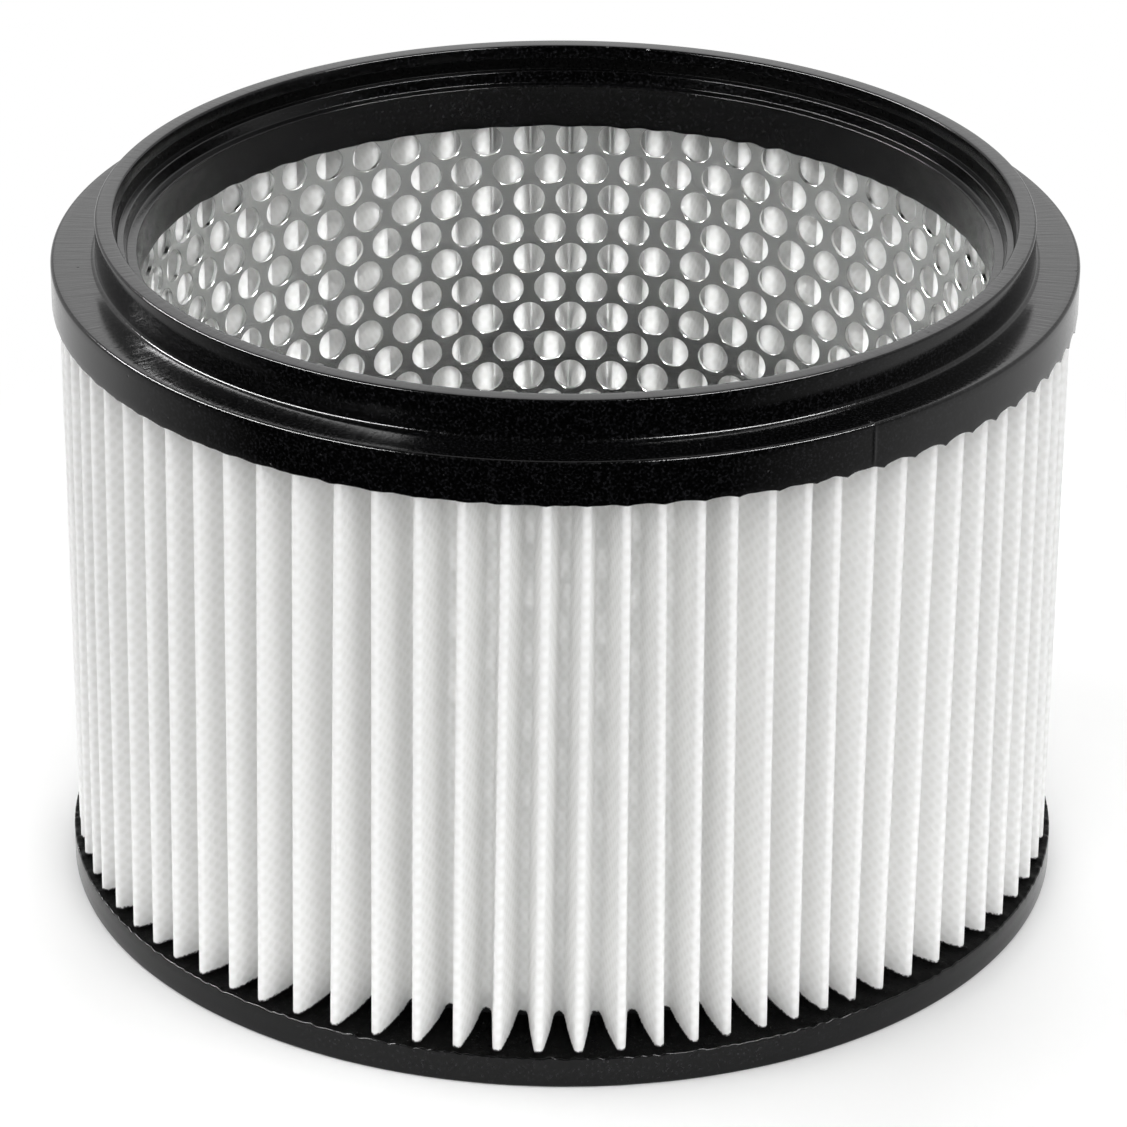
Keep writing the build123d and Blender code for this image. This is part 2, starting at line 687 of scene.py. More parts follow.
@dataclass(frozen=True)
class SpunbondFleece:
    """White spunbond polyester fleece, bonded by hot points in diagonal rows and pleated hot.

    To the eye it is a dull bright white that lets some light through. The bonding points are small dimples in
    rows, fibres roughen the face, and black resin has soaked a ragged margin where it is potted.
    """

    SHEET_PLACE: ClassVar[str] = "sheet_place"
    RESIN_GAP: ClassVar[str] = "resin_gap"

    colour: str = "#fafaf9"
    pressed_colour: str = "#f2f2f0"
    soaked_colour: str = "#242425"
    roughness: float = 0.9
    ior: float = 1.5
    reflectance: float = 0.05
    glow: float = 0.6
    glow_reach: float = 1.6 * MM
    point_spacing: float = 1.83 * MM
    point_depth: float = 0.065 * MM
    point_turn: float = math.radians(45.0)
    # Scatter of the points, and where a dimple's slope starts and ends, as shares of their spacing
    point_scatter: float = 0.15
    slope_start: float = 0.05
    slope_end: float = 0.6
    # Single fibres are too fine to show, so they are drawn coarser, as wisps
    fibre_spacing: float = 0.5 * MM
    fibre_length: float = 2.5 * MM
    fibre_depth: float = 0.03 * MM
    # How ragged the soaked margin is, and where it is black and where clean, as shares of its reach
    soak_reach: float = 0.6 * MM
    soak_spacing: float = 0.6 * MM
    soak_ragged: float = 1.5
    soak_black: float = -0.5
    soak_clean: float = 0.2

    def material(self) -> bpy.types.Material:
        """Build the shader, which reads the places that PleatedMedia stores on its mesh.

        Returns:
            The material.
        """
        material, tree, shader = new_material("spunbond_polyester_fleece")
        sheet = add_node(tree, "ShaderNodeAttribute", attribute_name=self.SHEET_PLACE).outputs["Vector"]
        gap = add_node(tree, "ShaderNodeAttribute", attribute_name=self.RESIN_GAP).outputs["Fac"]
        place = add_node(tree, "ShaderNodeNewGeometry").outputs["Position"]
        point_place = add_node(
            tree,
            "ShaderNodeMapping",
            {"Vector": sheet, "Rotation": (0, 0, self.point_turn), "Scale": [1 / self.point_spacing] * 3},
        )
        points = add_node(
            tree,
            "ShaderNodeTexVoronoi",
            {"Vector": point_place.outputs[0], "Scale": 1.0, "Randomness": self.point_scatter},
            voronoi_dimensions="2D",
        )
        loft = add_node(
            tree,
            "ShaderNodeMapRange",
            {0: points.outputs["Distance"], 1: self.slope_start, 2: self.slope_end},
            interpolation_type="SMOOTHSTEP",
        ).outputs[0]
        scale = (1 / self.fibre_spacing, 1 / self.fibre_length, 1)
        fibre_place = add_node(tree, "ShaderNodeVectorMath", {0: sheet, 1: scale}, operation="MULTIPLY")
        fibres = add_node(
            tree, "ShaderNodeTexNoise", {"Vector": fibre_place.outputs[0], "Scale": 1.0, "Detail": 4.0}
        ).outputs[0]
        blots = add_node(
            tree, "ShaderNodeTexNoise", {"Vector": place, "Scale": 1 / self.soak_spacing, "Detail": 2.0}
        ).outputs[0]
        black, clean = self.soak_black * self.soak_reach, self.soak_clean * self.soak_reach
        ragged = add_node(
            tree,
            "ShaderNodeMath",
            {0: blots, 1: -self.soak_ragged * self.soak_reach, 2: gap},
            operation="MULTIPLY_ADD",
        ).outputs[0]
        soaked = add_node(
            tree,
            "ShaderNodeMapRange",
            {0: ragged, 1: black, 2: clean, 3: 1.0, 4: 0.0},
            interpolation_type="SMOOTHSTEP",
        ).outputs[0]
        white = add_node(
            tree,
            "ShaderNodeMix",
            {0: loft, 6: linear_colour(self.pressed_colour), 7: linear_colour(self.colour)},
            data_type="RGBA",
        ).outputs[2]
        tint = add_node(
            tree,
            "ShaderNodeMix",
            {0: soaked, 6: white, 7: linear_colour(self.soaked_colour)},
            data_type="RGBA",
        )
        point_bump = add_node(tree, "ShaderNodeBump", {"Height": loft, "Distance": self.point_depth})
        fibre_bump = add_node(
            tree,
            "ShaderNodeBump",
            {"Height": fibres, "Distance": self.fibre_depth, "Normal": point_bump.outputs[0]},
        )
        tree.links.new(tint.outputs[2], shader.inputs["Base Color"])
        tree.links.new(fibre_bump.outputs[0], shader.inputs["Normal"])
        shader.inputs["Roughness"].default_value = self.roughness
        shader.inputs["IOR"].default_value = self.ior
        shader.inputs["Specular IOR Level"].default_value = self.reflectance
        shader.inputs["Subsurface Weight"].default_value = self.glow
        shader.inputs["Subsurface Radius"].default_value = (1.0, 1.0, 1.0)
        shader.inputs["Subsurface Scale"].default_value = self.glow_reach
        return material


@dataclass
class TopCap:
    """Upper casting: flange, collar, stepped mouth and the neck that holds the core."""

    sizes: CartridgeSizes
    bed: PottingBed
    lower_ledge_width: float = 1.85 * MM
    riser_height: float = 2.2 * MM
    riser_draft: float = 0.5 * MM
    upper_ledge_width: float = 1.3 * MM
    mouth_depth: float = 4.6 * MM
    mouth_draft: float = 0.7 * MM
    rim_width: float = 3.3 * MM
    rim_rounding: float = 0.45 * MM
    ledge_rounding: float = 0.22 * MM
    root_rounding: float = 0.9 * MM
    flange_rounding: float = 0.6 * MM
    edge_rounding: float = 0.25 * MM
    # The neck's lower lip: how far it was drawn up, how much more to one side, and how far in it reaches
    lip_rounding: float = 0.4 * MM
    lip_lift: float = 0.55 * MM
    lip_tilt: float = 0.3 * MM
    lip_turn: float = math.radians(150.0)
    lip_reach: float = 1.2 * MM
    # The flange's lower edge: scallops that are deepest near one angle and shallow away from it
    scallop_least: float = 0.2 * MM
    scallop_most: float = 0.85 * MM
    scallop_power: float = 1.6
    deepest_angle: float = math.radians(75.0)
    deepest_reach: float = math.radians(10.0)
    shallow_reach: float = math.radians(80.0)
    drip_drop: float = 0.3 * MM
    drip_width: float = 0.6 * MM
    # Pouring left the casting uneven up to this height above its lower face. The scallops start and are full
    # at two distances in from the flange's edge, and the bed climbs in full from a margin inside the tips
    low_reach: float = 1.6 * MM
    edge_start: float = 2.4 * MM
    edge_full: float = 0.8 * MM
    bed_margin: float = 1.0 * MM
    # The mark of the mould's joint: it keeps off the collar, fades in, and turns over the flange's upper edge
    seam_angle: float = math.radians(34.2)
    seam_height: float = 0.12 * MM
    seam_width: float = 0.25 * MM
    seam_columns: int = 2
    seam_clear: float = 1.0 * MM
    seam_fade: float = 1.0 * MM
    turn_start: float = 1.0 * MM
    turn_end: float = 0.3 * MM
    columns_per_pleat: int = 10
    lip_ripple: Ripple = Ripple(seed=5, slowest=30, fastest=90, size=0.1 * MM)
    edge_ripple: Ripple = Ripple(seed=6, slowest=60, fastest=220, size=0.05 * MM)

    def section(self) -> np.ndarray:
        """Half section of the casting, before the resin's own unevenness.

        Returns:
            Radii and heights of its points, in order round it.
        """
        sizes = self.sizes
        rim_radius = sizes.collar_radius - self.rim_width
        upper_radius = rim_radius - self.mouth_draft
        riser_radius = upper_radius - self.upper_ledge_width
        lower_radius = riser_radius - self.riser_draft
        neck_radius = lower_radius - self.lower_ledge_width
        upper_height = sizes.collar_top - self.mouth_depth
        lower_height = upper_height - self.riser_height
        return rounded_section(
            [
                Corner(sizes.flange_radius, sizes.media_top, self.edge_rounding, parts=6),
                Corner(sizes.flange_radius, sizes.flange_top, self.flange_rounding, parts=6),
                Corner(sizes.collar_radius, sizes.flange_top, self.root_rounding, parts=3),
                Corner(sizes.collar_radius, sizes.collar_top, self.rim_rounding, parts=3),
                Corner(rim_radius, sizes.collar_top, self.rim_rounding, parts=2),
                Corner(upper_radius, upper_height, self.ledge_rounding),
                Corner(riser_radius, upper_height, self.ledge_rounding),
                Corner(lower_radius, lower_height, self.ledge_rounding),
                Corner(neck_radius, lower_height, self.ledge_rounding, parts=5),
                Corner(neck_radius, sizes.media_top, self.lip_rounding),
                Corner(sizes.core_radius, sizes.media_top, parts=22),
            ],
            closed=True,
        )

    def angles(self) -> np.ndarray:
        """Places of the casting's columns of points, which stand closer at the mark of the mould's joint.

        Returns:
            Rising angles, once round.
        """
        step = self.seam_width / self.sizes.flange_radius
        close = self.seam_angle + np.arange(-self.seam_columns, self.seam_columns + 1) * step
        columns = self.bed.layout.columns(self.columns_per_pleat)
        clear = np.abs(columns - self.seam_angle) > (self.seam_columns + 0.5) * step
        return np.sort(np.concatenate([columns[clear], close]))

    def scallops(self, angle: np.ndarray) -> np.ndarray:
        """How far the resin hangs below the flange along its lower edge.

        Args:
            angle: angles in radians.

        Returns:
            Drops, largest at the pleats' tips and on the side where more resin ran out.
        """
        layout = self.bed.layout
        phase = layout.phase(angle)
        away = math.pi - np.abs((angle - self.deepest_angle) % math.tau - math.pi)
        side = ramp(away, self.shallow_reach, self.deepest_reach)
        depth = self.scallop_least + (self.scallop_most - self.scallop_least) * side
        arch = (1 - 2 * np.abs(phase)) ** self.scallop_power
        from_tip = phase * layout.spacing(angle) * self.sizes.flange_radius
        drip = self.drip_drop * side * np.exp(-((from_tip / self.drip_width) ** 2))
        return depth * arch + drip + self.edge_ripple.at(angle)

    def build(self) -> bpy.types.Object:
        """Turn the section round the axis and add what pouring did to it.

        Returns:
            The casting.
        """
        sizes = self.sizes
        angle = self.angles()
        section = self.section()
        radius, height = (np.repeat(section[:, [axis]], angle.size, axis=1) for axis in (0, 1))
        low = ramp(height, sizes.media_top + self.low_reach, sizes.media_top)
        edge_full = sizes.flange_radius - self.edge_full
        at_edge = low * ramp(radius, sizes.flange_radius - self.edge_start, edge_full)
        at_lip = low * ramp(radius, sizes.core_radius, sizes.core_radius - self.lip_reach)
        under = (height < sizes.media_top + TOUCH) & (radius > sizes.core_radius)
        climb = self.bed.rise(radius, angle) * ramp(radius, edge_full, sizes.media_radius - self.bed_margin)
        lip = self.lip_lift + self.lip_tilt * np.sin(angle + self.lip_turn) + self.lip_ripple.at(angle)
        from_seam = (angle - self.seam_angle) * sizes.flange_radius / self.seam_width
        seam_start = sizes.collar_radius + self.seam_clear
        seam = self.seam_height * np.exp(-(from_seam**2))
        seam = seam * ramp(radius, seam_start, seam_start + self.seam_fade) * (1 - low)
        on_top = ramp(height, sizes.flange_top - self.turn_start, sizes.flange_top - self.turn_end)
        height = height - at_edge * self.scallops(angle) - under * climb + at_lip * lip + on_top * seam
        radius = radius + (1 - on_top) * seam
        faces = grid_quads(len(section), angle.size, wrap_rows=True)
        casting = add_piece("top_cap_casting", ring_points(radius, angle, height), faces.tolist())
        inside = radius < sizes.collar_radius - self.rim_width
        above_ledge = height > sizes.collar_top - self.mouth_depth
        below_rim = height < sizes.collar_top - self.rim_rounding
        # The beds under the flange and the mouth's inner wall take the second finish, whose dimmer specks and
        # weak reflection are painted shade
        use_second_finish(casting, (under | (inside & above_ledge & below_rim)).ravel())
        return casting


@dataclass
class BaseCap:
    """Lower casting: a rim round the bed that holds the pleats, and the web that closes the end."""

    sizes: CartridgeSizes
    bed: PottingBed
    recess_radius: float = 77.75 * MM
    recess_depth: float = 2.0 * MM
    recess_rounding: float = 0.5 * MM
    foot_rounding: float = 0.5 * MM
    edge_rounding: float = 0.25 * MM
    web_margin: float = 3.0 * MM
    # The bed starts to rise this far in from the edge, and rises in full from the second distance on
    bed_start: float = 0.2 * MM
    bed_full: float = 1.0 * MM
    ripple_depth: float = 0.6 * MM
    columns_per_pleat: int = 12
    halvings: int = 5
    edge_ripple: Ripple = Ripple(seed=8, slowest=80, fastest=320, size=0.11 * MM)

    def section(self) -> np.ndarray:
        """Half section from the web's underside out round the rim and back to its upper side.

        Returns:
            Radii and heights of its points, in order.
        """
        sizes = self.sizes
        web_radius = self.recess_radius - self.web_margin
        floor = sizes.base_top - self.recess_depth
        return rounded_section(
            [
                Corner(web_radius, 0.0, parts=3),
                Corner(sizes.base_radius, 0.0, self.foot_rounding, parts=3),
                Corner(sizes.base_radius, sizes.base_top, self.edge_rounding, parts=26),
                Corner(sizes.core_radius, sizes.base_top),
                Corner(self.recess_radius, sizes.base_top, self.recess_rounding),
                Corner(self.recess_radius, floor, self.recess_rounding),
                Corner(web_radius, floor),
            ],
            closed=False,
            arc_steps=4,
        )

    def disc(self, first: int, ring: np.ndarray, radius: float, height: float, end: int) -> tuple[list, list]:
        """Close a ring of the casting with a disc whose cells keep their size towards the middle.

        Args:
            first: number of the ring's first vertex.
            ring: angles of the ring's vertices.
            radius: the ring's radius.
            height: the disc's height.
            end: number that the disc's first own vertex gets.

        Returns:
            The disc's own points and its faces.
        """
        points, faces = [], []
        outer = np.arange(first, first + ring.size)
        for _ in range(self.halvings):
            ring, radius = ring[::2], radius / 2
            points += ring_points(np.full(ring.size, radius), ring, np.full(ring.size, height)).tolist()
            inner = np.arange(end, end + ring.size)
            end += ring.size
            for index in range(inner.size):
                before, middle, after = (outer[(2 * index + step) % outer.size] for step in range(3))
                near, far = inner[index], inner[(index + 1) % inner.size]
                faces += [[before, middle, near], [middle, far, near], [middle, after, far]]
            outer = inner
        return points, faces + [outer.tolist()]

    def build(self) -> bpy.types.Object:
        """Turn the section round the axis, raise the bed to the pleats and close the web.

        Returns:
            The casting.
        """
        sizes = self.sizes
        angle = self.bed.layout.columns(self.columns_per_pleat)
        section = self.section()
        radius, height = (np.repeat(section[:, [axis]], angle.size, axis=1) for axis in (0, 1))
        on_bed = (height > sizes.base_top - TOUCH) & (radius > sizes.core_radius - TOUCH)
        inside = ramp(radius, sizes.base_radius - self.bed_start, sizes.base_radius - self.bed_full)
        at_edge = ramp(height, sizes.base_top - self.ripple_depth, sizes.base_top) * (1 - inside)
        ripple = (radius > sizes.core_radius) * self.edge_ripple.at(angle)
        height = height + on_bed * inside * self.bed.rise(radius, angle) + at_edge * ripple
        points = ring_points(radius, angle, height).reshape(-1, 3)
        faces = grid_quads(len(section), angle.size, wrap_rows=False).tolist()
        for row in (0, len(section) - 1):
            more_points, more_faces = self.disc(row * angle.size, angle, *section[row], len(points))
            points = np.concatenate([points, more_points])
            faces += more_faces
        casting = add_piece("base_cap_casting", points, faces)
        # The bed between the pleats takes the second finish, whose dimmer specks and weak reflection are
        # painted shade
        free = np.zeros(len(points), dtype=bool)
        free[: on_bed.size] = (on_bed & (inside > 0)).ravel()
        use_second_finish(casting, free)
        return casting


class HoleRow(Enum):
    """How much of a row of holes lies on the sheet: the sheet is cut along the first and the last row."""

    WHOLE = 0
    LOWER_HALF = -1
    UPPER_HALF = 1


@dataclass
class PerforatedCore:
    """Tube of punched sheet, with round holes in rows that are set half a step from each other."""

    sizes: CartridgeSizes
    inner_radius: float = 80.8 * MM
    sheet: float = 0.8 * MM
    hole_radius: float = 3.2 * MM
    burr: float = 0.06 * MM
    holes_round: int = 60
    row_spacing: float = 6.44 * MM
    top_row: float = 112.9 * MM
    whole_rows: int = 17
    first_hole: float = math.radians(179.2)
    edge_parts: int = 3
    weld_reach: float = 0.001 * MM

    def outline(self, row: HoleRow) -> tuple[np.ndarray, np.ndarray]:
        """Flat outline of one hole and of the six-sided cell of sheet round it.

        Args:
            row: how much of the cell is wanted.

        Returns:
            Directions of the hole's points, and the cell's points: complex numbers that run clockwise from
            the top.
        """
        half = math.pi * (self.inner_radius + self.sheet / 2) / self.holes_round
        side = (self.row_spacing**2 - half**2) / (2 * self.row_spacing)
        peak = (self.row_spacing**2 + half**2) / (2 * self.row_spacing)
        right = np.array([peak * 1j, half + side * 1j, half - side * 1j])
        corners = np.concatenate([right, -right])
        shares = np.arange(self.edge_parts) / self.edge_parts
        cell = (corners[:, None] + shares * (np.roll(corners, -1) - corners)[:, None]).ravel()
        count = cell.size
        hole = 1j * np.exp(-1j * math.tau * np.arange(count) / count)
        if row is HoleRow.WHOLE:
            return hole, cell
        below = slice(count // 4 + 1, count - count // 4)
        hole = np.concatenate([[1], hole[below], [-1]])
        cell = np.concatenate([[half], cell[below], [-half]])
        return (hole, cell) if row is HoleRow.LOWER_HALF else (hole.conj(), cell.conj())

    def row(self, number: int, row: HoleRow) -> tuple[np.ndarray, list[list[int]]]:
        """One row of cells round the tube.

        Args:
            number: the row's place, counted down from the highest whole row.
            row: how much of the row lies on the sheet.

        Returns:
            The row's points and faces.
        """
        hole, cell = self.outline(row)
        middle = self.inner_radius + self.sheet / 2
        outer = self.inner_radius + self.sheet
        depth = self.inner_radius + self.burr
        layers = [
            (cell, self.inner_radius),
            (hole * (self.hole_radius + self.burr), self.inner_radius),
            (hole * self.hole_radius, depth),
            (hole * self.hole_radius, outer),
            (cell, outer),
        ]
        flat = np.array([layer for layer, _ in layers])
        radius = np.array([radius for _, radius in layers])[:, None]
        height = self.top_row - number * self.row_spacing
        step = math.tau / self.holes_round
        points, faces = [], []
        for column in range(self.holes_round):
            start = len(points) * flat.size
            centre = self.first_hole + (column + 0.5 * (number % 2)) * step
            points.append(ring_points(radius, centre + flat.real / middle, height + flat.imag).reshape(-1, 3))
            count = hole.size
            closing = count if row is HoleRow.WHOLE else count - 1
            for layer in range(len(layers) - 1):
                for index in range(closing):
                    near, far = start + layer * count + index, start + layer * count + (index + 1) % count
                    faces.append([near, far, far + count, near + count])
            if row is not HoleRow.WHOLE:
                ends = start + np.arange(len(layers)) * count
                faces += [ends.tolist(), (ends + count - 1)[::-1].tolist()]
        return np.concatenate(points), faces

    def build(self) -> bpy.types.Object:
        """Join the rows of cells into one sheet.

        Returns:
            The core.
        """
        kinds = [HoleRow.LOWER_HALF, *[HoleRow.WHOLE] * self.whole_rows, HoleRow.UPPER_HALF]
        points, faces = [], []
        for number, kind in enumerate(kinds, start=-1):
            row_points, row_faces = self.row(number, kind)
            start = sum(map(len, points))
            points.append(row_points)
            faces += [[start + corner for corner in face] for face in row_faces]
        return add_piece("perforated_steel_core", np.concatenate(points), faces, weld=self.weld_reach)


@dataclass
class PleatedMedia:
    """One sheet of fleece, folded into pleats that stand round the core and are potted at both ends."""

    sizes: CartridgeSizes
    layout: PleatLayout
    top_layout: PleatLayout
    bed: PottingBed
    sheet: float = 0.6 * MM
    tip_rounding: float = 0.85 * MM
    root_rounding: float = 1.6 * MM
    potted: float = 1.0 * MM
    end_rows: tuple[float, ...] = tuple(height * MM for height in (-0.2, 0.6, 1.4, 2.4, 4.0, 6.5, 10.0))
    middle_steps: int = 8
    top_dent_share: float = 0.5
    bulge: float = 0.22 * MM
    tip_steps: int = 6
    root_steps: int = 8
    flank_steps: int = 4
    seed: int = 17
    flat: tuple[float, float] = field(init=False, default=(0.0, 0.0))

    def heights(self) -> np.ndarray:
        """Heights of the rows of points, closer together towards the potted ends.

        Returns:
            Rising heights.
        """
        near = np.array([-self.potted, *self.end_rows])
        low, high = self.sizes.base_top, self.sizes.media_top
        middle = np.linspace(low + near[-1], high - near[-1], self.middle_steps + 1)[1:-1]
        return np.concatenate([low + near, middle, (high - near)[::-1]])

    def line(self, heights: np.ndarray) -> tuple[np.ndarray, np.ndarray]:
        """Middle line of the folded sheet at each height, and its outward direction.

        Args:
            heights: heights of the rows.

        Returns:
            Places in plan, and unit vectors away from the core: complex numbers, rows by points.
        """
        sizes, layout = self.sizes, self.layout
        chance = np.random.default_rng(self.seed)
        share = ((heights - sizes.base_top) / (sizes.media_top - sizes.base_top))[:, None]
        tips = layout.tips() + share * (self.top_layout.tips() - layout.tips())
        roots = (tips + np.roll(tips, -1, axis=1)) / 2
        roots[:, -1] += math.pi
        tip_middle = self.tip_rounding - self.sheet / 2
        root_middle = self.root_rounding - self.sheet / 2
        dent_share = 1 - (1 - self.top_dent_share) * share
        reach = layout.outer_radius + (layout.tip_radius(tips) - layout.outer_radius) * dent_share
        tip_centres = -1j * np.exp(1j * tips) * (reach - self.sheet / 2 - tip_middle)
        root_centres = -1j * np.exp(1j * roots) * (layout.inner_radius + self.root_rounding)
        inward = root_centres - tip_centres
        outward = np.roll(tip_centres, -1, axis=1) - root_centres
        both = tip_middle + root_middle
        inward = inward / np.abs(inward) * np.exp(1j * np.arcsin(both / np.abs(inward)))
        outward = outward / np.abs(outward) * np.exp(-1j * np.arcsin(both / np.abs(outward)))
        arriving = np.roll(outward, 1, axis=1)

        tip_turn = np.angle(inward / arriving)[..., None] * np.linspace(0, 1, self.tip_steps + 1)
        tip_facing = -1j * arriving[..., None] * np.exp(1j * tip_turn)
        tip_points = tip_centres[..., None] + tip_middle * tip_facing
        root_turn = np.angle(outward / inward)[..., None] * np.linspace(0, 1, self.root_steps + 1)
        root_facing = -1j * inward[..., None] * np.exp(1j * root_turn)
        root_points = root_centres[..., None] - root_middle * root_facing

        flank = np.arange(1, self.flank_steps) / self.flank_steps
        swell = self.bulge * chance.standard_normal((2, 1, layout.count)) * np.sin(math.pi * share)
        parts = [(tip_points, tip_facing)]
        next_tips = np.roll(tip_points, -1, axis=1)
        for start, end, heading, amount in (
            (tip_points[..., -1:], root_points[..., :1], inward, swell[0]),
            (root_points[..., -1:], next_tips[..., :1], outward, swell[1]),
        ):
            facing = np.repeat(-1j * heading[..., None], flank.size, axis=-1)
            points = start + flank * (end - start) + amount[..., None] * np.sin(math.pi * flank) * facing
            parts.append((points, facing))
        ordered = [parts[0], parts[1], (root_points, root_facing), parts[2]]
        line = np.concatenate([points for points, _ in ordered], axis=-1)
        facing = np.concatenate([directions for _, directions in ordered], axis=-1)
        return line.reshape(len(heights), -1), facing.reshape(len(heights), -1)

    def build(self) -> bpy.types.Object:
        """Fold the sheet.

        Its mesh stores where each point lay on the flat sheet and how far off the resin is.

        Returns:
            The folded sheet.
        """
        heights = self.heights()
        line, facing = self.line(heights)
        rows, count = line.shape
        plan = np.concatenate([line + facing * self.sheet / 2, (line - facing * self.sheet / 2)[::-1]])
        height = np.repeat(np.concatenate([heights, heights[::-1]])[:, None], count, axis=1)
        points = np.stack([plan.real, plan.imag, height], axis=-1)
        faces = grid_quads(2 * rows, count, wrap_rows=True)
        media = add_piece("pleated_fleece", points, faces.tolist(), crease=60.0)

        steps = np.abs(np.diff(line[rows // 2], append=line[rows // 2, 0]))
        along = np.broadcast_to(np.concatenate([[0], np.cumsum(steps)[:-1]]), height.shape)
        self.flat = (float(np.ptp(heights)), float(steps.sum()))
        place = np.stack([along, height, np.zeros_like(height)], axis=-1)
        rise = self.bed.at_sheet(np.abs(plan))
        gap = np.minimum(height - self.sizes.base_top - rise, self.sizes.media_top - height)
        store_numbers(media, SpunbondFleece.SHEET_PLACE, place)
        store_numbers(media, SpunbondFleece.RESIN_GAP, gap)
        return media


class LampUse(Enum):
    """What a lamp does: it lights the part, or it shows in its gloss."""

    LIGHT = "light"
    GLINT = "glint"


def hang_lamp(lamp: bpy.types.Light, aim: Vector, towards: Vector, distance: float) -> bpy.types.Object:
    """Hang a lamp so that it faces a point.

    Args:
        lamp: the lamp.
        aim: the point that it faces.
        towards: unit vector from that point to the lamp.
        distance: how far from the point it hangs.

    Returns:
        The lamp's object, linked to the scene.
    """
    holder = bpy.data.objects.new(lamp.name, lamp)
    holder.location = aim + towards * distance
    holder.rotation_euler = towards.to_track_quat("Z", "Y").to_euler()
    bpy.context.scene.collection.objects.link(holder)
    return holder


@dataclass(frozen=True)
class Softbox:
    """One soft lamp: its direction from the part, its distance, its width and height and what it gives."""

    name: str
    direction: tuple[float, float, float]
    distance: float
    width: float
    height: float
    watts: float
    use: LampUse

    def build(self, aim: Vector) -> None:
        """Hang the lamp and turn it to the part.

        Args:
            aim: the point that it faces.
        """
        lamp = bpy.data.lights.new(self.name, "AREA")
        lamp.shape = "RECTANGLE"
        lamp.size = self.width
        lamp.size_y = self.height
        lamp.energy = self.watts
        holder = hang_lamp(lamp, aim, Vector(self.direction).normalized(), self.distance)
        holder.visible_glossy = self.use is LampUse.GLINT
        holder.visible_diffuse = self.use is LampUse.LIGHT
        holder.visible_camera = False


@dataclass(frozen=True)
class MouthSpots:
    """Ring of narrow lamps that shine through the mouth on the far side of the ring of pleats.

    The lamps at the sides are turned towards the front by the slant, and the ones in front are the stronger.
    """

    count: int = 12
    watts: float = 10.0
    front_share: float = 0.8
    slant: float = math.radians(32.0)
    distance: float = 1.0
    elevation: float = math.radians(40.0)
    beam_radius: float = 46.0 * MM
    edge_softness: float = 0.3
    lens_radius: float = 15.0 * MM

    def build(self, sizes: CartridgeSizes) -> None:
        """Hang the lamps and turn each to the middle of the wall that it lights.

        Args:
            sizes: sizes of the part that stands below them.
        """
        middle = (sizes.base_top + sizes.media_top) / 2
        for index in range(self.count):
            angle = (index + 0.5) * math.tau / self.count
            across = Vector((math.sin(angle), -math.cos(angle), 0.0))
            towards = across * math.cos(self.elevation) + Vector((0.0, 0.0, math.sin(self.elevation)))
            far = angle + math.pi + self.slant * math.sin(angle)
            aim = Vector((math.sin(far) * sizes.core_radius, -math.cos(far) * sizes.core_radius, middle))
            lamp = bpy.data.lights.new(f"mouth_spot_{index + 1}", "SPOT")
            lamp.energy = self.watts * (1 + self.front_share * math.cos(angle))
            lamp.spot_size = 2 * math.atan(self.beam_radius / self.distance)
            lamp.spot_blend = self.edge_softness
            lamp.shadow_soft_size = self.lens_radius
            holder = hang_lamp(lamp, aim, towards, self.distance)
            holder.visible_glossy = False


